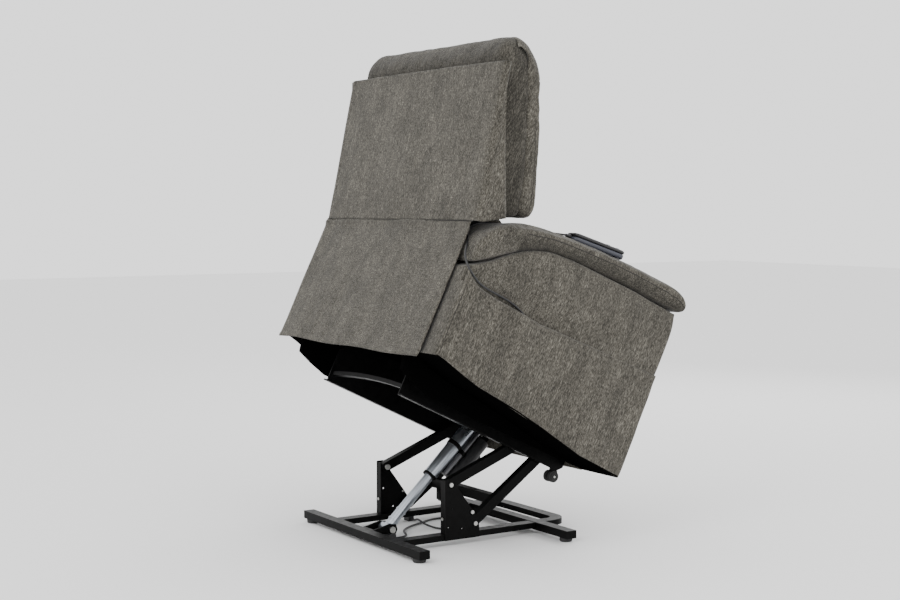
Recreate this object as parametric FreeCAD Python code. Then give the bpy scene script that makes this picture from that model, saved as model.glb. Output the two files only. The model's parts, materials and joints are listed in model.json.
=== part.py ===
"""Lift recliner chair, raised and tilted forward, as an assembly of separate sub-parts.

Millimetres. +Z is up, the chair faces -Y, and the sitter's right hand is at -X. The origin lies on
the floor, at the centre of the bounding box without the free cords. The chair is modelled in its
own square frame (x across, u forward from the rear plane, v up) and then tipped forward by TILT.
"""
import FreeCAD, Part
import math
import os

V = FreeCAD.Vector
os.makedirs("parts", exist_ok=True)

# ---- driving dimensions -------------------------------------------------------------------------
SHIFT_Y = 62.4            # moves the whole model so that its box is centred on the origin
TILT = 25.77               # forward tilt of the raised chair, degrees
CHAIR_Y, CHAIR_Z = 373.0, 479.3   # rear lower corner of the chair frame at the raised end

ARM_OUT, ARM_IN = 430.0, 270.0    # half widths over and between the arms
CHAIR_DEPTH = 680.0
PANEL_X = 407.5            # half width over the upper side panel, inside the pocket lip
POCKET_LIP = 11.5          # thickness of the pocket's outer wall

BAR_W, BAR_Z0, BAR_Z1 = 31.8, 10.6, 32.3
REAR_BAR_HALF, REAR_BAR_Y = 317.5, 322.5
FRONT_BAR_HALF, FRONT_BAR_Y = 325.6, -142.4
RAIL_OUT, RAIL_IN, RAIL_Z0, RAIL_Z1 = 179.7, 145.6, 15.2, 31.3
LOOP_FRONT_Y, LOOP_BAR, LOOP_R = -265.0, 34.0, 60.0
TUBE_WALL, CAP = 2.0, 2.5
FOOT_R, FOOT_INSET = 17.5, 26.2

PLATE = 3.0                # sheet thickness of the gussets
UPPER_PIVOT = (140.3, 166.0)      # y, z of the upper link's hinge on the gusset
LOWER_PIVOT = (61.9, 53.3)
UPPER_ANGLE, LOWER_ANGLE = 21.3, 35.66   # link angles above the floor at the raised end
UPPER_LEN, LOWER_LEN = 356.99, 305.59
LINK_HALF = 13.5
LINK_X0, LINK_X1 = 155.0, 176.0
PIN_R, RUN_GAP = 5.0, 0.05

MOTOR_PIVOT = (231.0, 27.0)       # y, z of the lift actuator's lower hinge
MOTOR_ANGLE, MOTOR_LEN = 43.7, 560.0
ROD_R, TUBE_R = 14.0, 20.0

RAIL_X0, RAIL_X1 = 192.0, 196.0   # lift frame side plates
REAR_BOW_V, REAR_BOW_RISE = -5.0, 9.0    # underside of the bowed rear cross bar at its ends, its rise
MECH_X0, MECH_X1 = 250.0, 254.0   # seat mechanism side plates

BACK_PIVOT = (100.0, 300.0)       # u, v of the recline hinge
RECLINE_BASE, RECLINE_TOP = (400.0, 170.0), (100.0, 220.0)
RECLINE_X = 120.0

ROLLER, ROLLER_R, AXLE_R = (641.0, -45.0), 16.0, 3.0   # transit rollers, u, v

LEG_G, LEG_M, LEG_P = (450.0, 220.0), (555.0, 45.0), (622.0, 235.0)   # footrest chain, u, v

HANDSET_X, HANDSET_U, HANDSET_V = -355.0, 298.0, 521.5
HANDSET_TILT, HANDSET_L, HANDSET_W, HANDSET_H = 8.0, 177.0, 52.0, 24.0

CABLE_D, HANDSET_CORD_D = 6.0, 5.5

made = {}


# ---- helpers ------------------------------------------------------------------------------------
def save(name, shape):
    """Keep one sub-part, shifted into the row frame."""
    placed = shape.copy()
    placed.translate(V(0, SHIFT_Y, 0))
    made[name] = placed


def box(x0, x1, y0, y1, z0, z1):
    return Part.makeBox(x1 - x0, y1 - y0, z1 - z0, V(x0, y0, z0))


def prism(points, x0, x1):
    """Extrude an outline given as (y, z) points from x0 to x1."""
    wire = Part.makePolygon([V(x0, y, z) for y, z in points] + [V(x0, *points[0])])
    return Part.Face(wire).extrude(V(x1 - x0, 0, 0))


def rod_x(y, z, r, x0, x1):
    return Part.makeCylinder(r, x1 - x0, V(x0, y, z), V(1, 0, 0))


def fuse(shapes):
    out = shapes[0].fuse(shapes[1:]) if len(shapes) > 1 else shapes[0]
    return out.removeSplitter()


def mirror(shape):
    return shape.mirror(V(0, 0, 0), V(1, 0, 0))


def both(right):
    """A piece made on the right (-X) and its mirror image on the left, as separate solids."""
    return [right, mirror(right)]


def save_group(name, shapes):
    """Save several separate pieces as one node."""
    save(name, Part.makeCompound(shapes))


def save_pair(name, right):
    """Save a sub-part made on the right (-X) and its mirror image, each as its own node."""
    save(name + "_right", right)
    save(name + "_left", mirror(right))


def bar_between(p, q, half, x0, x1, hole_p, hole_q):
    """A flat bar with round ends in the y, z plane, with a hole at each end."""
    dy, dz = q[0] - p[0], q[1] - p[1]
    length = math.hypot(dy, dz)
    ny, nz = -dz / length * half, dy / length * half
    body = prism([(p[0] + ny, p[1] + nz), (q[0] + ny, q[1] + nz),
                  (q[0] - ny, q[1] - nz), (p[0] - ny, p[1] - nz)], x0, x1)
    bar = fuse([body, rod_x(p[0], p[1], half, x0, x1), rod_x(q[0], q[1], half, x0, x1)])
    for (y, z), r in ((p, hole_p), (q, hole_q)):
        if r:
            bar = bar.cut(rod_x(y, z, r, x0 - 1, x1 + 1))
    return bar


def chair(shape):
    """Tip a shape from the chair's square frame (x, -u, v) into the raised pose."""
    placed = shape.copy()
    placed.rotate(V(0, 0, 0), V(1, 0, 0), TILT)
    placed.translate(V(0, CHAIR_Y, CHAIR_Z))
    return placed


def uv(points):
    return [(-u, v) for u, v in points]


def uv_prism(points, x0, x1):
    return prism(uv(points), x0, x1)


def uv_box(x0, x1, u0, u1, v0, v1):
    return box(x0, x1, -u1, -u0, v0, v1)


def uv_rod(u, v, r, x0, x1):
    return rod_x(-u, v, r, x0, x1)


def chair_point(x, u, v):
    """The row-frame position of a point given in the chair's square frame."""
    c, s = math.cos(math.radians(TILT)), math.sin(math.radians(TILT))
    return V(x, CHAIR_Y - u * c - v * s, CHAIR_Z - u * s + v * c)


def along(start, angle, distance):
    """A y, z point at a distance from start, forward and up at an angle."""
    a = math.radians(angle)
    return (start[0] - distance * math.cos(a), start[1] + distance * math.sin(a))


def smooth_path(points):
    """Straight runs joined by tangent arcs, each as large as its runs allow."""
    edges, radii, last = [], [], points[0]
    for i in range(1, len(points) - 1):
        a, b, c = points[i - 1], points[i], points[i + 1]
        before, after = (a - b), (c - b)
        short = min(before.Length, after.Length)
        turn = math.pi - before.getAngle(after)
        reach = 0.45 * short
        radius = reach / math.tan(turn / 2)
        radii.append(radius)
        before.normalize()
        after.normalize()
        start, end = b + before * reach, b + after * reach
        bisector = before + after
        bisector.normalize()
        middle = b + bisector * (radius / math.cos(turn / 2) - radius)
        edges.append(Part.LineSegment(last, start).toShape())
        edges.append(Part.Arc(start, middle, end).toShape())
        last = end
    edges.append(Part.LineSegment(last, points[-1]).toShape())
    return Part.Wire(edges), radii


def cord(name, points, diameter):
    """A plain round tube along a cord's route."""
    path, radii = smooth_path(points)
    first = points[1] - points[0]
    first.normalize()
    ring = Part.Wire([Part.Circle(points[0], first, diameter / 2).toShape()])
    tube = path.makePipeShell([ring], True, False)
    expected = math.pi * diameter ** 2 / 4 * path.Length
    print(name, "length %.0f" % path.Length, "least radius %.0f" % min(radii),
          "volume ratio %.3f" % (tube.Volume / expected))
    save(name, tube)


# ---- base ---------------------------------------------------------------------------------------
def cross_bar(half, y_rear):
    """A rectangular tube across the base, with a plastic cap at each end."""
    y0 = y_rear - BAR_W
    plug = fuse([box(-half, -half + CAP, y0, y_rear, BAR_Z0, BAR_Z1),
                 box(-half, -half + 15, y0 + TUBE_WALL + 0.3, y_rear - TUBE_WALL - 0.3,
                     BAR_Z0 + TUBE_WALL + 0.3, BAR_Z1 - TUBE_WALL - 0.3)])
    half -= CAP
    outer = box(-half, half, y0, y_rear, BAR_Z0, BAR_Z1)
    inner = box(-half - 1, half + 1, y0 + TUBE_WALL, y_rear - TUBE_WALL,
                BAR_Z0 + TUBE_WALL, BAR_Z1 - TUBE_WALL)
    return [outer.cut(inner)] + both(plug)


def base_frame():
    save_group("base_cross_bars", cross_bar(REAR_BAR_HALF, REAR_BAR_Y)
               + cross_bar(FRONT_BAR_HALF, FRONT_BAR_Y))
    rail = box(-RAIL_OUT, -RAIL_IN, FRONT_BAR_Y, REAR_BAR_Y - BAR_W, RAIL_Z0, RAIL_Z1)
    save_group("base_rails", both(rail))

    y_joint = FRONT_BAR_Y - BAR_W
    outer = box(-RAIL_OUT, RAIL_OUT, LOOP_FRONT_Y, y_joint, RAIL_Z0, RAIL_Z1)
    inner = box(-RAIL_IN, RAIL_IN, LOOP_FRONT_Y + LOOP_BAR, y_joint, RAIL_Z0, RAIL_Z1)

    def front_corners(shape, y):
        """The two upright edges on the plane at y."""
        return [e for e in shape.Edges
                if all(abs(p.Point.y - y) < 0.01 for p in e.Vertexes)
                and abs(e.Vertexes[0].Point.x - e.Vertexes[-1].Point.x) < 0.01
                and e.Length < RAIL_Z1]

    outer = outer.makeFillet(LOOP_R, front_corners(outer, LOOP_FRONT_Y))
    inner = inner.makeFillet(LOOP_R - LOOP_BAR, front_corners(inner, LOOP_FRONT_Y + LOOP_BAR))
    save("base_front_loop", outer.cut(inner))

    feet = []
    for half, y_rear in ((REAR_BAR_HALF, REAR_BAR_Y), (FRONT_BAR_HALF, FRONT_BAR_Y)):
        x, y = -half + FOOT_INSET, y_rear - BAR_W / 2
        pad = Part.makeCone(FOOT_R - 1.5, FOOT_R, 3.0, V(x, y, 0))
        body = Part.makeCylinder(FOOT_R, BAR_Z0 - 3.0, V(x, y, 3.0))
        feet += both(fuse([pad, body]))
    save_group("base_feet", feet)


def gussets():
    """Upright side plates that carry the link hinges, with a flange along the rear edge."""
    uy, uz = UPPER_PIVOT
    ly, lz = LOWER_PIVOT
    x_out = -RAIL_OUT - PLATE
    rear = uy + 17.4
    outline = [(rear, RAIL_Z0), (rear, uz + 13), (rear - 3, uz + 15.5), (uy - 4, uz + 15.5),
               (uy - 18, uz - 4), (ly + 8, lz + 38), (ly - 11, lz + 10), (ly - 14, lz - 14),
               (ly - 14, RAIL_Z0)]
    plate = prism(outline, x_out, -RAIL_OUT)
    flange = box(-RAIL_OUT, -RAIL_OUT + 20, rear - 2.5, rear, RAIL_Z1, uz + 12)
    gusset = fuse([plate, flange])
    for y, z, r in ((uy, uz, PIN_R), (ly, lz, PIN_R), (ly + 10, lz + 32, 3.0),
                    (uy - 4, uz - 66, 2.5), (rear - 10, 50, 2.5), (ly + 42, 44, 2.5)):
        gusset = gusset.cut(rod_x(y, z, r, x_out - 1, -RAIL_OUT + 1))
    save_group("gussets", both(gusset))

    def pivot_bolt(y, z):
        shank = rod_x(y, z, PIN_R, x_out, -LINK_X0 + 3)
        head = rod_x(y, z, 5.8, x_out - 4.5, x_out)
        nut = rod_x(y, z, 8.0, -LINK_X0 + 3, -LINK_X0 + 8)
        return fuse([shank, head, nut])

    stop = fuse([rod_x(ly + 10, lz + 32, 5.0, x_out - 4, x_out),
                 rod_x(ly + 10, lz + 32, 3.0, x_out, -RAIL_OUT)])
    flange_screw = Part.makeCylinder(4.0, 2.6, V(-RAIL_OUT + 10, rear, 73.0), V(0, 1, 0))
    y, z = MOTOR_PIVOT
    motor_pin = fuse([rod_x(y, z, 6.0, -31, 31), rod_x(y, z, 9.0, 28, 32),
                      rod_x(y, z, 9.0, -32, -28)])
    bolts = both(pivot_bolt(uy, uz)) + both(pivot_bolt(ly, lz))
    save_group("base_bolts", bolts + both(stop) + both(flange_screw) + [motor_pin])


def motor_bracket():
    """Clevis on the rear bar for the lift actuator's lower hinge."""
    y, z = MOTOR_PIVOT
    bar_front = REAR_BAR_Y - BAR_W
    cheek = prism([(bar_front, BAR_Z0 + 1), (bar_front, BAR_Z1), (y + 8, z + 17), (y - 12, z + 14),
                   (y - 17, z), (y - 12, z - 12), (y + 8, z - 15)], -28, -24)
    cheek = cheek.cut(rod_x(y, z, 6.0, -30, -20))
    web = box(-24, 24, bar_front - 6, bar_front, BAR_Z0 + 1, BAR_Z1)
    save("motor_bracket", fuse([cheek, mirror(cheek), web]))


def cable_clips():
    save_group("cable_clips", [box(-44, -28, 228, 262, 0.6, 18), box(150, 176, 52, 70, 0.6, RAIL_Z0)])


# ---- linkage ------------------------------------------------------------------------------------
upper_top = along(UPPER_PIVOT, UPPER_ANGLE, UPPER_LEN)
lower_top = along(LOWER_PIVOT, LOWER_ANGLE, LOWER_LEN)
motor_top = along(MOTOR_PIVOT, MOTOR_ANGLE, MOTOR_LEN)


def to_uv(point):
    """Chair-frame u, v of a row-frame y, z point."""
    c, s = math.cos(math.radians(TILT)), math.sin(math.radians(TILT))
    dy, dz = point[0] - CHAIR_Y, point[1] - CHAIR_Z
    return (-dy * c - dz * s, -dy * s + dz * c)


UPPER_UV, LOWER_UV, MOTOR_UV = to_uv(upper_top), to_uv(lower_top), to_uv(motor_top)


def links():
    hole = PIN_R + RUN_GAP
    lower = bar_between(LOWER_PIVOT, lower_top, LINK_HALF, -LINK_X1, -LINK_X0, hole, hole)
    save_group("lower_links", both(lower))
    upper = bar_between(UPPER_PIVOT, upper_top, LINK_HALF, -LINK_X1, -LINK_X0, hole, PIN_R)
    head = RAIL_X1 + 1.0
    pin = fuse([rod_x(upper_top[0], upper_top[1], PIN_R, -head, -LINK_X0 + 4),
                rod_x(upper_top[0], upper_top[1], 12.0, -head - 2.5, -head),
                rod_x(upper_top[0], upper_top[1], 8.0, -LINK_X0, -LINK_X0 + 5)])
    save_group("upper_links", both(fuse([upper, pin])))

    cy, cz = along(LOWER_PIVOT, LOWER_ANGLE, 0.31 * LOWER_LEN)
    tube = box(-LINK_X0, LINK_X0, cy - 12, cy + 12, cz - 13, cz + 13)
    bore = box(-LINK_X0 - 1, LINK_X0 + 1, cy - 10, cy + 10, cz - 11, cz + 11)
    stop_tab = box(110, 128, cy - 4, cy + 4, cz - 13 - 34, cz - 13)
    save("link_cross_tube", fuse([tube.cut(bore), stop_tab]))


def telescope(pivot, top, angle, length, x, rod_r, tube_r, rod_len, eye_r, pin_r, eye_half, spare):
    """Rod with a lower eye, and a tube with an upper eye, of a linear actuator in the y, z plane.

    Returns the rod, the tube and a function that gives a cylinder between two distances.
    """
    a = math.radians(angle)
    direction = V(0, -math.cos(a), math.sin(a))
    start = V(x, pivot[0], pivot[1])

    def run(d0, d1, r):
        return Part.makeCylinder(r, d1 - d0, start + direction * d0, direction)

    lower_eye = rod_x(pivot[0], pivot[1], eye_r, x - eye_half, x + eye_half)
    rod = fuse([lower_eye, run(0, rod_len, rod_r)])
    rod = rod.cut(rod_x(pivot[0], pivot[1], pin_r + RUN_GAP, x - eye_half - 1, x + eye_half + 1))
    upper_eye = rod_x(top[0], top[1], eye_r, x - eye_half, x + eye_half)
    tube = fuse([run(rod_len - spare, length - 4, tube_r), upper_eye])
    tube = tube.cut(rod_x(top[0], top[1], pin_r, x - eye_half - 1, x + eye_half + 1))
    tube = tube.cut(run(rod_len - spare - 1, length - 40, rod_r + 0.5))
    return rod, tube, run


def lift_actuator():
    rod_len, spare = 375.0, 180.0     # rod length, and how much of it is inside the tube
    rod, tube, run = telescope(MOTOR_PIVOT, motor_top, MOTOR_ANGLE, MOTOR_LEN, 0.0, ROD_R, TUBE_R,
                               rod_len, 15.0, 6.0, 22.0, spare)
    save("actuator_rod", fuse([rod, run(26, 30, ROD_R + 2.0), run(60, 64, ROD_R + 1.5)]))
    mouth = rod_len - spare
    save("actuator_tube", tube)
    wiper = run(mouth - 7, mouth, TUBE_R + 0.8).cut(run(mouth - 8, mouth + 1, ROD_R + 0.5))
    y, z = motor_top
    pin = fuse([rod_x(y, z, 6.0, -31, 31), rod_x(y, z, 12.0, 30, 33), rod_x(y, z, 12.0, -33, -30)])
    save("actuator_pin_upper", pin)

    a = math.radians(MOTOR_ANGLE)
    direction = V(0, -math.cos(a), math.sin(a))
    below = V(0, -math.sin(a), -math.cos(a))

    def beside(d, off, x=0.0):
        return V(x, MOTOR_PIVOT[0], MOTOR_PIVOT[1]) + direction * d + below * off

    guide = Part.makeCylinder(10.0, 206, beside(mouth + 30, 33), direction)
    save("spindle_tube", guide)
    rings = [wiper]
    for d in (mouth + 104, mouth + 218):
        ring = fuse([Part.makeCylinder(TUBE_R + 2, 12, beside(d, 0), direction),
                     Part.makeCylinder(12.5, 12, beside(d, 33), direction)])
        ring = ring.cut(Part.makeCylinder(TUBE_R, 18, beside(d - 1, 0), direction))
        rings.append(ring.cut(Part.makeCylinder(10.0, 18, beside(d - 1, 33), direction)))
    save_group("actuator_rings", rings)
    motor = Part.makeCylinder(19.5, 112, beside(mouth + 70, 65.5), direction)
    save("lift_motor", motor)
    gear = fuse([Part.makeCylinder(24.0, 34, beside(mouth + 36, 66), direction),
                 Part.makeCylinder(16.0, 34, beside(mouth + 36, 36, 14), direction)])
    gear = gear.cut(Part.makeCylinder(10.0, 40, beside(mouth + 33, 33), direction))
    gear = gear.cut(Part.makeCylinder(TUBE_R + 4.2, 40, beside(mouth + 33, 0), direction))
    save("lift_gearbox", gear)


# ---- lift frame ---------------------------------------------------------------------------------
def lift_frame():
    outline = [(80, -25), (652, -25), (668, -10), (668, 46), (632, 46), (600, 106),
               (570, 112), (120, 112), (80, 70)]
    side = uv_prism(outline, -RAIL_X1, -RAIL_X0)
    flange = uv_box(-RAIL_X1 - 18, -RAIL_X1, 80, 560, -25, -21)
    fork = uv_prism([(628, -25), (656, -25), (652, -46), (641, -54), (632, -46)],
                    -RAIL_X1, -RAIL_X0)
    side = fuse([side, flange, fork])
    for (u, v), r in ((UPPER_UV, 10.5), (LOWER_UV, PIN_R), (ROLLER, AXLE_R)):
        side = side.cut(uv_rod(u, v, r, -RAIL_X1 - 1, -RAIL_X0 + 1))
    save_group("lift_side_plates", both(chair(side)))

    def tube(u0, u1, v0, v1, half):
        outer = uv_box(-half, half, u0, u1, v0, v1)
        return outer.cut(uv_box(-half - 1, half + 1, u0 + 2, u1 - 2, v0 + 2, v1 - 2))

    tu, tv = MOTOR_UV
    crossbar = tube(tu - 15, tu + 15, tv + 21, tv + 46, RAIL_X0 - 6)
    upright = uv_prism([(tu - 26, 60), (tu + 26, 60), (tu + 26, tv + 49), (tu - 26, tv + 49)],
                       -RAIL_X0, -RAIL_X0 + 6)

    cheek = uv_prism([(tu - 20, tv + 21), (tu + 20, tv + 21), (tu + 16, tv - 24), (tu - 16, tv - 24)],
                     -28, -24)
    slot = fuse([uv_rod(tu, tv + 1, 9.5, -30, -22), uv_rod(tu, tv - 12, 9.5, -30, -22),
                 uv_box(-30, -22, tu - 9.5, tu + 9.5, tv - 12, tv + 1)])
    cheek = cheek.cut(slot)
    crossbar = fuse([crossbar] + both(upright) + both(cheek))
    def arch(x):
        return REAR_BOW_V + REAR_BOW_RISE * (1 - (x / RAIL_X0) ** 2)

    across = [RAIL_X0 * k / 6 for k in range(-6, 7)]
    bow = [V(x, -86, arch(x)) for x in across] + [V(x, -86, arch(x) + 11) for x in reversed(across)]
    bow = Part.Face(Part.makePolygon(bow + bow[:1])).extrude(V(0, -16, 0))
    save_group("lift_cross_tubes", [chair(shape) for shape in (
        bow, tube(638, 663, 22, 47, RAIL_X0), crossbar)])

    u, v = ROLLER
    hole = AXLE_R + RUN_GAP
    outer = fuse([uv_rod(u, v, ROLLER_R, -RAIL_X1 - 12, -RAIL_X1 - 2),
                  uv_rod(u, v, ROLLER_R - 6, -RAIL_X1 - 14, -RAIL_X1 - 1)])
    inner = fuse([uv_rod(u, v, ROLLER_R, -RAIL_X0 + 2, -RAIL_X0 + 12),
                  uv_rod(u, v, ROLLER_R - 6, -RAIL_X0 + 1, -RAIL_X0 + 14)])
    bore = uv_rod(u, v, hole, -RAIL_X1 - 20, -RAIL_X0 + 20)
    save_pair("roller", chair(Part.makeCompound([outer.cut(bore), inner.cut(bore)])))


def seat_mechanism():
    bu, bv = BACK_PIVOT
    plate = uv_prism([(80, 112), (600, 112), (600, 262), (165, 262), (130, 322), (75, 322)],
                     -MECH_X1, -MECH_X0)
    plate = plate.cut(uv_rod(bu, bv, 6.0, -MECH_X1 - 1, -MECH_X0 + 1))
    plate = plate.cut(uv_rod(LEG_G[0], LEG_G[1], PIN_R, -MECH_X1 - 1, -MECH_X0 + 1))
    save_group("mechanism_plates", both(chair(plate)))
    tubes = []
    for u0 in (150, 345):
        outer = uv_box(-MECH_X0, MECH_X0, u0, u0 + 25, 112, 137)
        bore = uv_box(-MECH_X0 - 1, MECH_X0 + 1, u0 + 2, u0 + 23, 114, 135)
        tubes.append(outer.cut(bore))
    ru, rv = RECLINE_BASE
    cheek = uv_prism([(347, 137), (370, 137), (ru + 12, rv - 8), (ru + 12, rv + 12),
                      (ru - 10, rv + 14)], RECLINE_X - 24, RECLINE_X - 20)
    cheek = cheek.cut(uv_rod(ru, rv, PIN_R, RECLINE_X - 26, RECLINE_X - 18))
    other = cheek.copy()
    other.translate(V(44, 0, 0))
    tubes[1] = fuse([tubes[1], cheek, other])
    save_group("seat_tubes", [chair(shape) for shape in tubes])

    def pin(u, v, r, head_r, head_x, x0, x1):
        """A pin along x with a head outside x0."""
        return fuse([uv_rod(u, v, r, x0, x1), uv_rod(u, v, head_r, head_x, x0)])

    plate_out = -MECH_X1 - 4
    pins = both(pin(*LOWER_UV, PIN_R, 9.0, -RAIL_X1 - 4.5, -RAIL_X1, -LINK_X0 + 4))
    pins += both(uv_rod(*ROLLER, AXLE_R, -RAIL_X1 - 16, -RAIL_X0 + 16))
    pins += both(pin(bu, bv, 6.0, 10.0, plate_out, -MECH_X1, -MECH_X0 + 12))
    pins += both(pin(*LEG_G, PIN_R, 9.0, plate_out, -MECH_X1, -MECH_X0 + 8))
    pins.append(uv_rod(ru, rv, PIN_R, RECLINE_X - 28, RECLINE_X + 28))
    save_group("chair_pins", [chair(shape) for shape in pins])
    save("control_box", chair(uv_box(-200, -80, 200, 330, 214, 262)))
    socket = Part.makeCylinder(9.0, 8.0, V(-140, -200, 238), V(0, 1, 0))
    socket = socket.cut(Part.makeCylinder(4.0, 7.0, V(-140, -199, 238), V(0, 1, 0)))
    save("power_inlet", chair(socket))
    save("seat_deck", chair(uv_box(-MECH_X1, MECH_X1, 165, 600, 262, 280)))


# ---- upholstery ---------------------------------------------------------------------------------
ARM_BOTTOM = [(0, 75), (34, 71), (94, 58), (151, 48), (242, 42), (378, 27.5), (526, 5), (680, 0)]
BOARD_BOTTOM = [(0, 75), (10, 27), (59, 10), (113, -4), (300, -6), (526, -4), (680, 0)]
ARM_TOP = [(680, 477), (519, 475), (372, 466), (284, 459), (201, 445), (144, 419), (93, 381),
           (37, 336), (8, 318)]
PILLOW_CROWN = [(3, 345), (9, 392), (40, 437), (90, 466), (150, 488), (213, 502), (300, 516),
                (496, 531), (640, 534), (690, 524), (703, 500), (697, 480)]
POCKET_V = 272.0
SHOULDER_R, BACK_TOP_V = 62.0, 962.0      # rounded top corners of the back cushions
FLAP_RIGHT, FLAP_LEFT = -364.0, 398.0     # side edges of the rear flap


def arms():
    outline = BOARD_BOTTOM + ARM_TOP + [(0, 316)]
    board = uv_prism(outline, -285, -ARM_IN)
    blocks = [uv_box(-ARM_IN, -MECH_X1, u0, u0 + 60, 150, 210) for u0 in (130, 500)]
    save_group("arm_boards", both(chair(fuse([board] + blocks))))
    side = uv_prism(outline, -ARM_OUT, -285)
    side = side.cut(uv_box(-ARM_OUT - 1, -PANEL_X, -1, CHAIR_DEPTH + 1, POCKET_V, 500))
    slot = uv_box(-ARM_OUT + POCKET_LIP, -PANEL_X, 40, 470, 122, POCKET_V + 1)
    save("arm_side_right", chair(side.cut(slot)))
    save("arm_side_left", chair(mirror(side)))

    crown = [V(-262, -u, v) for u, v in PILLOW_CROWN]
    curve = Part.BSplineCurve()
    curve.interpolate(crown)
    lower = [V(-262, -u, v) for u, v in ARM_TOP]
    loop = [curve.toShape(), Part.makeLine(crown[-1], lower[0])]
    loop += [Part.makeLine(a, b) for a, b in zip(lower, lower[1:])]
    loop.append(Part.makeLine(lower[-1], crown[0]))
    pillow = Part.Face(Part.Wire(loop)).extrude(V(-172, 0, 0))
    save_pair("arm_pillow", chair(pillow))


def seat():
    outline = [(172, 282), (618, 282), (650, 296), (664, 312), (656, 388), (620, 405), (200, 400),
               (186, 380), (172, 330)]
    save("seat_cushion", chair(uv_prism(outline, -262, 262)))
    save("front_rail", chair(uv_box(-268, 268, 669, 684, -6, 45)))


def rear_flap():
    save("rear_flap_lower", chair(uv_box(FLAP_RIGHT, FLAP_LEFT, -11, -5, 62, 345)))
    save("rear_flap_upper", chair(uv_box(FLAP_RIGHT, FLAP_LEFT, -11, -5, 378, 430)))


def shouldered(outline, half):
    """A cushion block across x, with its two top corners rounded off."""
    r, top = SHOULDER_R, BACK_TOP_V
    corner = [(half - r + r * math.cos(a), top - r + r * math.sin(a))
              for a in (math.pi / 2 * k / 6 for k in range(7))]
    edge = [(half, 300)] + corner + [(-x, v) for x, v in reversed(corner)] + [(-half, 300)]
    points = [V(x, 200, v) for x, v in edge]
    mask = Part.Face(Part.makePolygon(points + points[:1])).extrude(V(0, -500, 0))
    return uv_prism(outline, -half, half).common(mask)


def backrest():
    bu, bv = BACK_PIVOT
    save("back_shell", chair(uv_prism([(-16, 433), (56, 474), (-95, 838), (-115, 834)], -400, 400)))
    core = [(58, 478), (115, 505), (85, 616), (25, 757), (-20, 870), (-40, 943), (-85, 943),
            (-106, 912), (-94, 840)]
    lower = [(45, 350), (105, 350), (105, 500.263), (58, 478), (57, 470), (45, 462)]
    save("back_core", chair(fuse([shouldered(core, 357), uv_prism(lower, -238, 238)])))
    head = [(-85, 943), (-40, 943), (-20, 870), (11.5, 791), (48, 791), (56, 815), (36, 880),
            (2, 935), (-45, 962), (-80, 955)]
    save("back_pillow_head", chair(shouldered(head, 363)))
    middle = [(13.5, 786), (25, 757), (85, 616), (109, 527.5), (156, 523), (164, 545), (136, 616),
              (84, 745), (52, 786)]
    save("back_pillow_middle", chair(uv_prism(middle, -363, 363)))
    lumbar = [(106, 412), (172, 412), (196, 432), (190, 485), (155, 521), (110.676, 521), (115, 505),
              (106, 500.7)]
    save("back_pillow_lumbar", chair(uv_prism(lumbar, -238, 238)))

    tu, tv = RECLINE_TOP
    bracket = uv_prism([(bu - 16, tv - 14), (bu + 16, tv - 14), (bu + 18, bv + 10), (bu + 4, 480),
                        (60, 470), (bu - 30, bv + 40), (bu - 18, bv)], -246, -242)
    bracket = bracket.cut(uv_rod(bu, bv, 6.0 + RUN_GAP, -247, -241))
    lever = uv_box(-242, 242, bu - 9, bu + 9, tv - 12, tv + 6)
    lever = lever.cut(uv_box(RECLINE_X - 30, RECLINE_X + 30, bu - 10, bu + 10, tv - 13, tv + 7))
    pin_room = uv_rod(tu, tv, 10.5, RECLINE_X - 34, RECLINE_X + 34)
    parts = both(bracket) + list(lever.Solids)
    for x0 in (RECLINE_X - 30, RECLINE_X + 26):
        ear = uv_box(x0, x0 + 4, bu - 16, bu + 16, tv - 16, tv + 15)
        parts.append(ear.cut(pin_room))
    save("recline_lever", chair(fuse(parts)))


def recline_drive():
    """Second actuator, between the middle seat tube and the lever bar of the backrest."""
    (ru, rv), (tu, tv) = RECLINE_BASE, RECLINE_TOP
    length = math.hypot(tu - ru, tv - rv)
    direction = V(0, (ru - tu) / length, (tv - rv) / length)
    start = V(RECLINE_X, -ru, rv)

    def run(d0, d1, r):
        return Part.makeCylinder(r, d1 - d0, start + direction * d0, direction)

    hole = uv_rod(ru, rv, PIN_R + RUN_GAP, RECLINE_X - 30, RECLINE_X + 30)
    body = fuse([run(0, 190, 17.0), uv_rod(ru, rv, 12.0, RECLINE_X - 18, RECLINE_X + 18)])
    bore = run(60, 191, 9.5)
    save("recline_motor", chair(body.cut(hole).cut(bore)))
    rod = fuse([run(110, length, 9.0), uv_rod(tu, tv, 11.0, RECLINE_X - 18, RECLINE_X + 18)])
    rod = rod.cut(uv_rod(tu, tv, PIN_R, RECLINE_X - 20, RECLINE_X + 20))
    pin = uv_rod(tu, tv, PIN_R, RECLINE_X - 29.5, RECLINE_X + 29.5)
    save("recline_rod", chair(fuse([rod, pin])))


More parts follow.
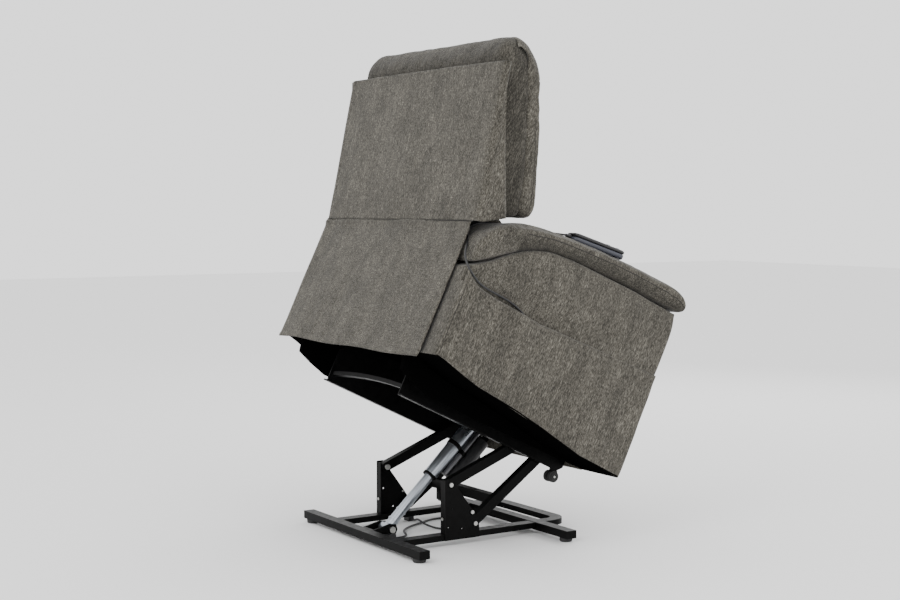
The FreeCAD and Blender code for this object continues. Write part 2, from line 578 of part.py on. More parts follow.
def footrest():
    hole = PIN_R + RUN_GAP
    g, m, p = uv([LEG_G, LEG_M, LEG_P])
    rear = bar_between(g, m, 11, -248, -243, hole, PIN_R)
    rivet = fuse([rod_x(m[0], m[1], PIN_R, -250, -233), rod_x(m[0], m[1], 8.0, -250, -248),
                  rod_x(m[0], m[1], 8.0, -235.5, -233)])
    save_group("leg_links_rear", both(chair(fuse([rear, rivet]))))
    front = bar_between(m, p, 11, -241, -236, hole, hole)
    save_group("leg_links_front", both(chair(front)))
    pu, pv = LEG_P
    bracket = uv_prism([(pu - 11, pv - 8), (pu - 11, pv + 8), (640, pv + 15), (640, pv - 45)],
                       -235, -230)
    stud = fuse([rod_x(p[0], p[1], PIN_R, -243, -230), rod_x(p[0], p[1], 8.0, -243, -241.5)])
    save_group("footrest_brackets", both(chair(fuse([bracket, stud]))))
    save("footrest_board", chair(uv_box(-262, 262, 640, 652, 56, 285)))
    pad = [(652.5, 52), (690, 52), (700, 66), (700, 278), (690, 292), (652.5, 292)]
    save("footrest_pad", chair(uv_prism(pad, -266, 266)))


# ---- handset ------------------------------------------------------------------------------------
def on_handset(shape):
    """Place a shape modelled flat at the handset's rear lower edge (y towards the rear)."""
    placed = shape.copy()
    placed.rotate(V(0, 0, 0), V(1, 0, 0), -HANDSET_TILT)
    placed.translate(V(HANDSET_X, -HANDSET_U, HANDSET_V))
    return chair(placed)


BUTTON_R = 7.0
BUTTON_NAMES = ("button_lift_up", "button_lift_down", "button_recline", "button_upright")
BUTTON_AT = [(x, d) for d in (118.0, 152.0) for x in (-12.0, 12.0)]


def handset():
    w, split = HANDSET_W / 2, 14.0
    tray = box(-w, w, -HANDSET_L, 0, 0, split)
    save("handset_case", on_handset(tray))
    lid = box(-w, w, -HANDSET_L, 0, split, HANDSET_H)
    for x, d in BUTTON_AT:
        lid = lid.cut(Part.makeCylinder(BUTTON_R + 0.4, 20, V(x, -d, split - 1)))
    save("handset_cover", on_handset(lid))
    for name, (x, d) in zip(BUTTON_NAMES, BUTTON_AT):
        save(name, on_handset(Part.makeCylinder(BUTTON_R, 9.0, V(x, -d, split + 3))))
    relief = Part.makeCone(4.0, 6.0, 16.0, V(0, 16, 12), V(0, -1, 0))
    save("handset_strain_relief", on_handset(relief))


# ---- cords --------------------------------------------------------------------------------------
CABLE_ROUTE = [
    (-36, 228, 5), (-36, 205, 4.4), (-22, 182, 4), (4, 170, 4), (36, 157, 4), (64, 128, 4), (84, 94, 4),
    (100, 58, 4), (121, 22, 4), (128, -18, 4), (112, -54, 4), (76, -76, 4), (36, -72, 4),
    (4, -46, 4), (-14, -8, 4), (-16, 32, 4), (4, 64, 5), (40, 79, 11), (80, 75, 16), (110, 65, 14),
    (132, 61, 6), (150, 61, 6),
]
HANDSET_ROUTE = [
    (-413, 345, 143), (-413, 316, 150), (-413, 284, 172), (-413, 262, 206), (-413, 243, 243),
    (-413, 216, 270), (-413, 180, 281), (-413, 145, 284), (-413, 110, 283), (-414, 76, 281),
    (-417, 45, 284), (-420, 18, 294), (-417, -6, 311), (-401, -14, 336), (-381, -8, 361),
    (-361, 3, 382), (-341, 8, 404), (-322, 14, 424), (-308, 36, 446), (-302, 64, 463),
    (-299, 98, 477), (-299, 134, 490), (-301, 172, 501), (-318, 206, 509), (-340, 232, 515),
    (-354, 256, 523), (-355, 280.5, 531.2),
]


def cords():
    cord("base_cable", [V(*p) for p in CABLE_ROUTE], CABLE_D)
    cord("handset_cord", [chair_point(*p) for p in HANDSET_ROUTE], HANDSET_CORD_D)
    save("cord_grommet", chair(uv_box(-ARM_OUT + POCKET_LIP, -PANEL_X, 345, 372, 122, 154)))


for build in (base_frame, gussets, motor_bracket, cable_clips, links, lift_actuator, lift_frame,
              seat_mechanism, arms, seat, rear_flap, backrest, recline_drive, footrest, handset,
              cords):
    build()

everything = FreeCAD.BoundBox()
for node, shape in made.items():
    assert shape.isValid(), node + " is not valid"
    if node not in ("base_cable", "handset_cord"):
        everything.add(shape.BoundBox)
    shape.exportStep("parts/" + node + ".step")
print(len(made), "nodes, y from %.1f to %.1f" % (everything.YMin, everything.YMax),
      "z from %.2f to %.1f" % (everything.ZMin, everything.ZMax))
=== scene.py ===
"""Looks of a raised lift recliner chair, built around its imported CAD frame. Metres."""
import json
import math

import bmesh
import bpy
import numpy as np
from mathutils import Matrix, Vector, noise
from mathutils.bvhtree import BVHTree
from mathutils.kdtree import KDTree

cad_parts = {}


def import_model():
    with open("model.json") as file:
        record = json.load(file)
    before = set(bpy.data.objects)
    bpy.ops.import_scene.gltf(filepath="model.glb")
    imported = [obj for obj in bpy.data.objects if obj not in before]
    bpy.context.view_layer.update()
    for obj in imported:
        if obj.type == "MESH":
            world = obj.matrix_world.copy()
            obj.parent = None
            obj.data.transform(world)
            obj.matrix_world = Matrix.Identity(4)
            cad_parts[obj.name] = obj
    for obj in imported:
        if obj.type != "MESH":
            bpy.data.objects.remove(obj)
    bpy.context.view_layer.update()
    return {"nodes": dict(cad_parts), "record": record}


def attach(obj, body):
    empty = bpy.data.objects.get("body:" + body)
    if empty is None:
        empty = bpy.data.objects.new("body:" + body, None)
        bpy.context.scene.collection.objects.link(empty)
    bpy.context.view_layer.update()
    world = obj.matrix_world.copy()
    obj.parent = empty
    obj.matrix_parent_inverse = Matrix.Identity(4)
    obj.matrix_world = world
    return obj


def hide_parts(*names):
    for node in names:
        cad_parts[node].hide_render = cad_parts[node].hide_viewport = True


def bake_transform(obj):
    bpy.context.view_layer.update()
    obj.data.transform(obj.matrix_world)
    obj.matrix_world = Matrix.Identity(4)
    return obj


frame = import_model()
NODES = frame["nodes"]

# ---- the chair's square frame -------------------------------------------------------------------
# Upholstery is built as (x, u, v): x across, u forward from the rear plane, v up, in millimetres.
MM = 0.001
TILT = math.radians(25.77)
BACK_PIVOT = (0.0, 100.0, 300.0)

ARM_OUT, ARM_IN, PANEL_X = 430.0, 262.0, 408.0
CHAIR_DEPTH = 680.0
BACK_HALF, CORE_HALF, PILLOW_HALF = 400.0, 357.0, 363.0
FLAP_RIGHT, FLAP_LEFT = -364.0, 398.0


def local(x, u, v):
    """Chair (x, u, v) in millimetres as an object-space point under CHAIR."""
    return Vector((x * MM, -u * MM, v * MM))


def chair_origin():
    """Where the chair frame's corner is in the row frame, from the recline hinge."""
    hinge = next(j for j in frame["record"]["behaviour"]["joints"] if j["name"] == "back_recline")
    return Vector(hinge["pos_m"]) - Matrix.Rotation(TILT, 3, "X") @ local(*BACK_PIVOT)


CHAIR_ORIGIN = chair_origin()
CHAIR = Matrix.Translation(CHAIR_ORIGIN) @ Matrix.Rotation(TILT, 4, "X")


def world(x, u, v):
    return CHAIR @ local(x, u, v)


# ---- camera, floor and light --------------------------------------------------------------------
LENS, SENSOR = 60.99, 36.0                        # millimetres
CAMERA_OFFSET = Vector((-3.579, 1.9679, 0.4367))  # from the chair frame's corner, metres
CAMERA_DOWN, CAMERA_TURN = 3.584, 57.088          # degrees below level, and round from -Y
LIT_POINT = Vector((0, 0, 0.7))                   # where every lamp looks


def studio():
    """Camera, floor, white surroundings and three soft lamps."""
    cam_data = bpy.data.cameras.new("camera")
    cam_data.lens, cam_data.sensor_width = LENS, SENSOR
    cam = bpy.data.objects.new("camera", cam_data)
    cam.location = CHAIR_ORIGIN + CAMERA_OFFSET
    cam.rotation_euler = (math.radians(90 - CAMERA_DOWN), 0.0, math.radians(180 + CAMERA_TURN))
    bpy.context.collection.objects.link(cam)
    bpy.context.scene.camera = cam

    bpy.ops.mesh.primitive_plane_add(size=30, location=(0, 0, -0.0005))
    floor = bpy.context.object
    floor.name = "floor"
    floor.data.materials.append(plain("floor_white", (0.86, 0.86, 0.86), 0.9))

    world_data = bpy.data.worlds.new("studio")
    world_data.use_nodes = True
    background = world_data.node_tree.nodes["Background"]
    background.inputs["Color"].default_value = (1.0, 1.0, 1.0, 1.0)
    background.inputs["Strength"].default_value = 1.7
    bpy.context.scene.world = world_data

    def area(name, at, size, watts):
        data = bpy.data.lights.new(name, "AREA")
        data.size, data.energy = size, watts
        lamp = bpy.data.objects.new(name, data)
        lamp.location = at
        lamp.rotation_euler = (LIT_POINT - Vector(at)).to_track_quat("-Z", "Y").to_euler()
        bpy.context.collection.objects.link(lamp)

    area("key", (-1.6, 3.4, 2.9), 1.8, 52)
    area("fill", (-3.6, -0.6, 2.2), 2.4, 32)
    area("front", (1.8, -3.0, 2.4), 2.4, 40)


# ---- materials ----------------------------------------------------------------------------------
class Shader:
    """A node material with a Principled shader, and short calls that add nodes to it."""

    def __init__(self, name):
        self.material = bpy.data.materials.new(name)
        self.material.use_nodes = True
        self.nodes = self.material.node_tree.nodes
        self.links = self.material.node_tree.links
        self.surface = self.nodes["Principled BSDF"]
        self.position = self.add("ShaderNodeTexCoord").outputs["Object"]

    def add(self, kind, **values):
        node = self.nodes.new(kind)
        for key, value in values.items():
            setattr(node, key, value)
        return node

    def noise(self, stretch, detail=2.0, roughness=0.5, distortion=0.0):
        """Noise of the object-space position, with its own scale along each axis."""
        mapping = self.add("ShaderNodeMapping")
        mapping.inputs["Scale"].default_value = stretch
        self.links.new(self.position, mapping.inputs["Vector"])
        node = self.add("ShaderNodeTexNoise")
        node.inputs["Scale"].default_value = 1.0
        node.inputs["Detail"].default_value = detail
        node.inputs["Roughness"].default_value = roughness
        node.inputs["Distortion"].default_value = distortion
        self.links.new(mapping.outputs["Vector"], node.inputs["Vector"])
        return node.outputs["Fac"]

    def ramp(self, value, stops):
        node = self.add("ShaderNodeValToRGB")
        elements = node.color_ramp.elements
        while len(elements) < len(stops):
            elements.new(0.5)
        for element, (position, colour) in zip(elements, stops):
            element.position = position
            element.color = (*colour, 1.0)
        self.links.new(value, node.inputs["Fac"])
        return node.outputs["Color"]

    def mix(self, kind, factor, a, b):
        node = self.add("ShaderNodeMix", data_type="RGBA", blend_type=kind)
        for socket, value in ((node.inputs["Factor"], factor), (node.inputs["A"], a),
                              (node.inputs["B"], b)):
            if isinstance(value, bpy.types.NodeSocket):
                self.links.new(value, socket)
            else:
                socket.default_value = value
        return node.outputs["Result"]

    def math(self, operation, a, b):
        node = self.add("ShaderNodeMath", operation=operation)
        for socket, value in zip(node.inputs, (a, b)):
            if isinstance(value, bpy.types.NodeSocket):
                self.links.new(value, socket)
            else:
                socket.default_value = value
        return node.outputs["Value"]

    def bump(self, height, strength, distance):
        node = self.add("ShaderNodeBump")
        node.inputs["Strength"].default_value = strength
        node.inputs["Distance"].default_value = distance
        self.links.new(height, node.inputs["Height"])
        self.links.new(node.outputs["Normal"], self.surface.inputs["Normal"])

    def set(self, **values):
        for key, value in values.items():
            socket = self.surface.inputs[key.replace("_", " ")]
            if isinstance(value, bpy.types.NodeSocket):
                self.links.new(value, socket)
            else:
                socket.default_value = value
        return self.material


def grey(level):
    return (level, level, level)


def plain(name, colour, roughness):
    return Shader(name).set(Base_Color=(*colour, 1.0), Roughness=roughness)


def tweed(name, shade=1.0, lying=False):
    """Heathered chenille: dark ground, pale slubs along the warp, faint picks and soft mottling,
    darkened by painted shade where a per-point attribute asks for it.

    The warp runs up the chair, or from back to front where the cloth is lying."""
    s = Shader(name)

    def warp(across, along):
        return (across, along, across) if lying else (across, across, along)

    yarn = s.noise(warp(560, 125), 3.0, 0.62, 0.2)
    ground = s.ramp(yarn, [(0.34, (0.030, 0.027, 0.022)), (0.47, (0.070, 0.064, 0.054)),
                           (0.56, (0.112, 0.104, 0.089)), (0.68, (0.215, 0.202, 0.175))])
    slub = s.noise(warp(330, 36), 2.0, 0.55, 0.12)
    flecks = s.ramp(slub, [(0.60, grey(0.0)), (0.70, grey(1.0))])
    ground = s.mix("MIX", s.math("MULTIPLY", flecks, 0.40), ground, (0.245, 0.232, 0.204, 1.0))
    pick = s.noise(warp(45, 520), 2.0, 0.6)
    cross = s.ramp(pick, [(0.36, grey(0.72)), (0.52, grey(1.0)), (0.72, grey(1.20))])
    ground = s.mix("MULTIPLY", 0.7, ground, cross)
    heather = s.ramp(s.noise(warp(200, 42), 2.0, 0.6), [(0.36, grey(0.74)), (0.64, grey(1.26))])
    ground = s.mix("MULTIPLY", 0.8, ground, heather)
    stripe = s.ramp(s.noise(warp(62, 3), 2.0, 0.6), [(0.36, grey(0.82)), (0.64, grey(1.14))])
    ground = s.mix("MULTIPLY", 0.7, ground, stripe)
    cloud = s.noise((16, 16, 9), 4.0, 0.6)
    mottle = s.ramp(cloud, [(0.36, grey(0.80)), (0.64, grey(1.16))])
    ground = s.mix("MULTIPLY", 0.85, ground, mottle)
    ground = s.mix("MULTIPLY", 1.0, ground, (shade, shade, shade * 0.975, 1.0))
    # painted shade: a per-point attribute mixes the cloth towards near-black where a cover is marked
    # as lying in crevice shade
    painted_shade = s.add("ShaderNodeAttribute", attribute_name="painted_shade").outputs["Fac"]
    ground = s.mix("MULTIPLY", painted_shade, ground, (0.12, 0.11, 0.10, 1.0))
    weave = s.noise(warp(900, 420), 2.0, 0.7)
    s.bump(s.math("ADD", yarn, s.math("MULTIPLY", weave, 0.5)), 0.55, 0.002)
    return s.set(Base_Color=ground, Roughness=0.95, Sheen_Weight=0.12, Sheen_Roughness=0.45,
                 Specular_IOR_Level=0.15)


def painted_steel():
    s = Shader("painted_black")
    wear = s.noise((60, 60, 60), 5.0, 0.65)
    s.bump(s.noise((700, 700, 700), 2.0), 0.06, 0.0004)
    return s.set(Base_Color=s.ramp(wear, [(0.35, grey(0.0015)), (0.75, grey(0.0035))]),
                 Roughness=s.ramp(wear, [(0.3, grey(0.30)), (0.7, grey(0.46))]),
                 Specular_IOR_Level=0.06)


def metal(name, colour, rough_low, rough_high, stretch):
    s = Shader(name)
    drawn = s.noise(stretch, 4.0, 0.6)
    return s.set(Base_Color=s.ramp(drawn, [(0.3, tuple(0.86 * c for c in colour)), (0.7, colour)]),
                 Roughness=s.ramp(drawn, [(0.3, grey(rough_low)), (0.7, grey(rough_high))]),
                 Metallic=1.0)


def moulded(name, colour, roughness, grain=0.12):
    s = Shader(name)
    patina = s.noise((40, 40, 40), 3.0)
    s.bump(s.noise((1400, 1400, 1400), 2.0), grain, 0.0004)
    return s.set(Base_Color=s.ramp(patina, [(0.3, tuple(0.8 * c for c in colour)), (0.7, colour)]),
                 Roughness=roughness)


def dust_cover_and_shade():
    """Black non-woven cloth under the seat; on the hidden boards, down-facing faces and the seat gap
    it is painted shade.
    """
    s = Shader("dust_cover_and_shade")
    fibre = s.noise((500, 500, 500), 4.0, 0.7)
    s.bump(fibre, 0.3, 0.0006)
    return s.set(Base_Color=s.ramp(fibre, [(0.3, grey(0.001)), (0.7, grey(0.002))]), Roughness=1.0,
                 Specular_IOR_Level=0.0)


FABRIC = tweed("tweed", 0.78)
# the lying copy is darker than the upright one: painted shade on up-facing faces
FABRIC_TOP_SHADED = tweed("tweed_lying_shaded", 0.72, lying=True)
# a darker copy of the tweed: painted shade for the arm's border, the back's boxing and tongue and some
# seam lines
FABRIC_PAINTED_SHADE = tweed("tweed_painted_shade", 0.62)
SEAM_SHADOW = plain("seam_shadow", (0.020, 0.018, 0.016), 1.0)
CAMBRIC_AND_SHADE = dust_cover_and_shade()
BLACK = painted_steel()
SILVER = metal("bright_tube", (0.40, 0.43, 0.47), 0.26, 0.32, (9, 9, 9))
DULL_TUBE = metal("dull_tube", (0.16, 0.16, 0.17), 0.30, 0.38, (20, 20, 20))
ZINC = metal("zinc_plate", (0.50, 0.50, 0.48), 0.30, 0.46, (90, 90, 90))
PLASTIC = moulded("black_plastic", (0.006, 0.006, 0.007), 0.48)
OLIVE = moulded("olive_primer", (0.030, 0.030, 0.021), 0.6)
HANDSET_SIDE = moulded("handset_shell", (0.040, 0.043, 0.058), 0.42)
BUTTON = moulded("button_grey", (0.30, 0.32, 0.37), 0.5)
RUBBER = moulded("rubber", (0.012, 0.012, 0.012), 0.72, 0.3)
CORD_SKIN = moulded("cord_skin", (0.010, 0.010, 0.011), 0.42, 0.05)

# the hidden boards take the black cloth: painted shade
SLOT_MATERIALS = {
    "black_steel": BLACK, "zinc": ZINC, "silver": SILVER, "black_plastic": PLASTIC,
    "button_grey": BUTTON, "black_rubber": RUBBER, "board": CAMBRIC_AND_SHADE, "upholstery": FABRIC,
}


def dress_frame():
    """Give every carried-over CAD node its finish."""
    for entry in frame["record"]["subparts"]:
        node = NODES.get(entry["node"])
        if node:
            node.data.materials.clear()
            node.data.materials.append(SLOT_MATERIALS[entry["material_slot"]])
    for name in ("mechanism_plates", "leg_links_rear", "leg_links_front",
                 "footrest_brackets", "recline_lever"):
        NODES[name].data.materials[0] = BLACK
    NODES["seat_tubes"].data.materials[0] = OLIVE
    NODES["spindle_tube"].data.materials[0] = DULL_TUBE


# ---- mesh helpers -------------------------------------------------------------------------------
def spline(points, count):
    """Points spaced evenly along a Catmull-Rom curve through the given ones."""
    pts = [np.array(p, float) for p in points]
    pts = [2 * pts[0] - pts[1]] + pts + [2 * pts[-1] - pts[-2]]
    dense = []
    for i in range(1, len(pts) - 2):
        p0, p1, p2, p3 = pts[i - 1:i + 3]
        for t in np.linspace(0, 1, 24, endpoint=False):
            dense.append(0.5 * (2 * p1 + (p2 - p0) * t + (2 * p0 - 5 * p1 + 4 * p2 - p3) * t * t
                                + (3 * p1 - p0 - 3 * p2 + p3) * t ** 3))
    dense.append(pts[-2])
    dense = np.array(dense)
    steps = np.concatenate([[0], np.cumsum(np.linalg.norm(np.diff(dense, axis=0), axis=1))])
    wanted = np.linspace(0, steps[-1], count)
    return np.stack([np.interp(wanted, steps, dense[:, k]) for k in range(dense.shape[1])], axis=1)


def polyline(points, value):
    """The second coordinate of a polyline at a value of its first."""
    xs, ys = zip(*points)
    return float(np.interp(value, xs, ys))


def make(name, mesh_points, faces, material):
    """A piece in the chair's frame from (x, u, v) points in millimetres."""
    mesh = bpy.data.meshes.new(name)
    mesh.from_pydata([local(*p) for p in mesh_points], [], faces)
    mesh.materials.append(material)
    piece = bpy.data.objects.new(name, mesh)
    piece.matrix_world = CHAIR
    bpy.context.collection.objects.link(piece)
    edit = bmesh.new()
    edit.from_mesh(mesh)
    bmesh.ops.recalc_face_normals(edit, faces=edit.faces)
    edit.to_mesh(mesh)
    edit.free()
    mesh.polygons.foreach_set("use_smooth", [True] * len(mesh.polygons))
    return piece


def grid_faces(rows, cols, close_cols=False):
    faces = []
    for i in range(rows - 1):
        for j in range(cols if close_cols else cols - 1):
            k = (j + 1) % cols
            faces.append((i * cols + j, i * cols + k, (i + 1) * cols + k, (i + 1) * cols + j))
    return faces


def extrusion(name, outline, x0, x1, material, rounding=14.0):
    """A (u, v) outline extruded across x, with its edges rounded."""
    n = len(outline)
    points = [(x0, u, v) for u, v in outline] + [(x1, u, v) for u, v in outline]
    faces = [tuple(range(n)), tuple(range(2 * n - 1, n - 1, -1))]
    faces += [(i, (i + 1) % n, n + (i + 1) % n, n + i) for i in range(n)]
    piece = make(name, points, faces, material)
    if rounding:
        modifier = piece.modifiers.new("round", "BEVEL")
        modifier.width, modifier.segments, modifier.limit_method = rounding * MM, 3, "ANGLE"
        apply_modifiers(piece)
    return piece


def apply_modifiers(piece):
    graph = bpy.context.evaluated_depsgraph_get()
    mesh = bpy.data.meshes.new_from_object(piece.evaluated_get(graph))
    old = piece.data
    piece.modifiers.clear()
    piece.data = mesh
    mesh.name = old.name
    mesh.polygons.foreach_set("use_smooth", [True] * len(mesh.polygons))
    bpy.data.meshes.remove(old)


def coordinates(piece):
    points = np.empty(len(piece.data.vertices) * 3)
    piece.data.vertices.foreach_get("co", points)
    return points.reshape(-1, 3)


def normals(piece):
    values = np.empty(len(piece.data.vertices) * 3)
    piece.data.vertices.foreach_get("normal", values)
    return values.reshape(-1, 3)


def set_coordinates(piece, points):
    piece.data.vertices.foreach_set("co", points.reshape(-1))
    piece.data.update()


def inflate(piece, voxel, pressure, cap, shrink):
    """Swell a closed shape as a stuffed cover does, by cloth simulation."""
    remesh = piece.modifiers.new("remesh", "REMESH")
    remesh.mode, remesh.voxel_size = "VOXEL", voxel * MM
    apply_modifiers(piece)
    start = coordinates(piece)
    small = start - normals(piece) * shrink * MM
    set_coordinates(piece, small)
    cloth = piece.modifiers.new("cloth", "CLOTH")
    cloth.settings.use_pressure = True
    cloth.settings.uniform_pressure_force = pressure
    cloth.settings.effector_weights.gravity = 0.0
    cloth.settings.quality = 4
    cloth.settings.tension_stiffness = cloth.settings.compression_stiffness = 22
    cloth.settings.bending_stiffness = 1.2
    cloth.point_cache.frame_end = 20
    scene = bpy.context.scene
    for number in range(1, 21):
        scene.frame_set(number)
    apply_modifiers(piece)
    scene.frame_set(1)
    moved = coordinates(piece) - start
    length = np.linalg.norm(moved, axis=1, keepdims=True)
    limit = cap * MM
    moved *= np.minimum(1.0, limit / np.maximum(length, 1e-9))
    set_coordinates(piece, start + moved)


def subdivide(piece, levels=1):
    modifier = piece.modifiers.new("subdivide", "SUBSURF")
    modifier.levels = modifier.render_levels = levels
    apply_modifiers(piece)
    return piece


def rumple(piece, depth, size, seed=0.0, stretch=(1.0, 1.0, 1.0)):
    """Soft unevenness of a hand-pulled cover, in millimetres."""
    points, out = coordinates(piece), normals(piece)
    offset = Vector((seed, 3.1 * seed, 1.7 * seed))
    for i, p in enumerate(points):
        q = Vector((p[0] * stretch[0], p[1] * stretch[1], p[2] * stretch[2])) / (size * MM) + offset
        points[i] = p + out[i] * noise.fractal(q, 1.0, 2.0, 3) * depth * MM
    set_coordinates(piece, points)


def crease(piece, path, depth=4.0, width=9.0, line=1.3, material=None):
    """Press a sewn seam into a cover along a path, and lay a dark line of painted seam shadow in it
    unless line is 0.
    """
    samples = spline(path, 160)
    tree = KDTree(len(samples))
    for i, p in enumerate(samples):
        tree.insert(local(*p), i)
    tree.balance()
    points, out = coordinates(piece), normals(piece)
    reach = width * MM
    for i, p in enumerate(points):
        distance = tree.find(Vector(p))[2]
        if distance < 3 * reach:
            points[i] = p - out[i] * depth * MM * math.exp(-(distance / reach) ** 2)
    set_coordinates(piece, points)
    if line:
        seam_line(piece, samples, line, material)


def seam_line(piece, samples, radius, material=None):
    """A fine line that follows a cover's surface, dark by default as painted seam shadow."""
    surface = BVHTree.FromPolygons([v.co for v in piece.data.vertices],
                                   [tuple(f.vertices) for f in piece.data.polygons])
    curve = bpy.data.curves.new(piece.name + "_seam", "CURVE")
    curve.dimensions, curve.bevel_depth, curve.bevel_resolution = "3D", radius * MM, 2
    track = curve.splines.new("POLY")
    track.points.add(len(samples) - 1)
    for point, sample in zip(track.points, samples):
        place, normal, _, _ = surface.find_nearest(local(*sample))
        point.co = (*(place - normal * radius * 0.25 * MM), 1.0)
    line = bpy.data.objects.new(piece.name + "_seam", curve)
    bpy.context.collection.objects.link(line)
    curve.materials.append(material or SEAM_SHADOW)
    mesh_line = bpy.data.objects.new(
        piece.name + "_seam", bpy.data.meshes.new_from_object(line.evaluated_get(
            bpy.context.evaluated_depsgraph_get())))
    bpy.context.collection.objects.link(mesh_line)
    bpy.data.objects.remove(line)
    mesh_line.matrix_world = CHAIR
    mesh_line.parent = piece
    mesh_line.matrix_parent_inverse = piece.matrix_world.inverted()


LOOKS_DOWN, LOOKS_UP = -0.7, 0.55      # how far a face's normal must point down or up


def paint_shade_below(piece):
    """The faces of a piece that look down get the black cloth as painted shade."""
    piece.data.materials.append(CAMBRIC_AND_SHADE)
    index = len(piece.data.materials) - 1
    for face in piece.data.polygons:
        if face.normal.z < LOOKS_DOWN:
            face.material_index = index


SHOULDER_R = 62.0
SHOULDER_LOW, SHOULDER_HIGH = 800.0, 940.0     # heights where the rounding starts and is full


def shoulder(piece, half):
    """Round off the two top corners of a back cushion."""
    points = coordinates(piece)
    for p in points:
        x, v = abs(p[0]) / MM, p[2] / MM
        share = min(max((v - SHOULDER_LOW) / (SHOULDER_HIGH - SHOULDER_LOW), 0.0), 1.0)
        p[2] -= edge_round(max(half - x, 0.0), SHOULDER_R) * share * MM
    set_coordinates(piece, points)
    return piece


def set_painted_shade(piece, depth):
    """Mark at each point of a cover how deep it is tucked away, as painted shade that darkens its
    cloth there.
    """
    marks = piece.data.attributes.new("painted_shade", "FLOAT", "POINT")
    points = coordinates(piece) / MM
    marks.data.foreach_set("value", [depth(abs(x), -y, z) for x, y, z in points])


def lay_cloth(piece):
    """The faces of a piece that look up get cloth whose warp runs from back to front, in a slightly
    darker tone that is painted shade.
    """
    piece.data.materials.append(FABRIC_TOP_SHADED)
    index = len(piece.data.materials) - 1
    for face in piece.data.polygons:
        if face.normal.z > LOOKS_UP:
            face.material_index = index


# ---- arms ---------------------------------------------------------------------------------------
ARM_BOTTOM = [(0, 75), (34, 71), (94, 58), (151, 48), (242, 42), (378, 27.5), (526, 5), (680, 0)]
ARM_TOP = [(0, 314), (8, 321), (37, 340), (66, 361), (93, 384), (117, 404), (144, 422), (171, 436),
           (201, 448), (233, 456), (284, 463), (372, 470), (519, 478), (680, 479)]
POCKET_LINE = [(0, 306), (8, 297), (23, 286), (48, 277), (110, 272), (255, 268), (482, 286),
               (680, 296)]
MOUTH = (60.0, 330.0)      # rear and front end of the pocket's open mouth


def mouth_gap(u):
    """How open the pocket is along its mouth, from 0 to 1."""
    t = (u - MOUTH[0]) / (MOUTH[1] - MOUTH[0])
    return math.sin(math.pi * t) ** 2 if 0 < t < 1 else 0.0


def edge_round(distance, radius):
    """How far a rounded edge falls back from the flat, at a distance from the rim."""
    if distance >= radius:
        return 0.0
    return radius - math.sqrt(max(radius ** 2 - (radius - distance) ** 2, 0.0))


def slab(name, low, high, u0, u1, outer, inner, material, radius=12.0, side=-1.0):
    """A panel standing in the (u, v) plane between two curves, x from inner to outer(u, v)."""
    cols, rows = 70, 44
    front, back = [], []
    for i in range(rows):
        for j in range(cols):
            u = u0 + (u1 - u0) * (0.5 - 0.5 * math.cos(math.pi * j / (cols - 1)))
            lo, hi = polyline(low, u), polyline(high, u)
            v = lo + (hi - lo) * (0.5 - 0.5 * math.cos(math.pi * i / (rows - 1)))
            rim = min(u - u0, u1 - u, v - lo, hi - v)
            front.append((side * (outer(u, v) - edge_round(rim, radius)), u, v))
            back.append((side * inner, u, v))
    n = rows * cols
    faces = grid_faces(rows, cols)
    faces += [tuple(n + k for k in reversed(f)) for f in grid_faces(rows, cols)]
    rim_path = [j for j in range(cols)] + [i * cols + cols - 1 for i in range(1, rows)]
    rim_path += [(rows - 1) * cols + j for j in range(cols - 2, -1, -1)]
    rim_path += [i * cols for i in range(rows - 2, 0, -1)]
    for a, b in zip(rim_path, rim_path[1:] + rim_path[:1]):
        faces.append((a, b, n + b, n + a))
    return make(name, front + back, faces, material)


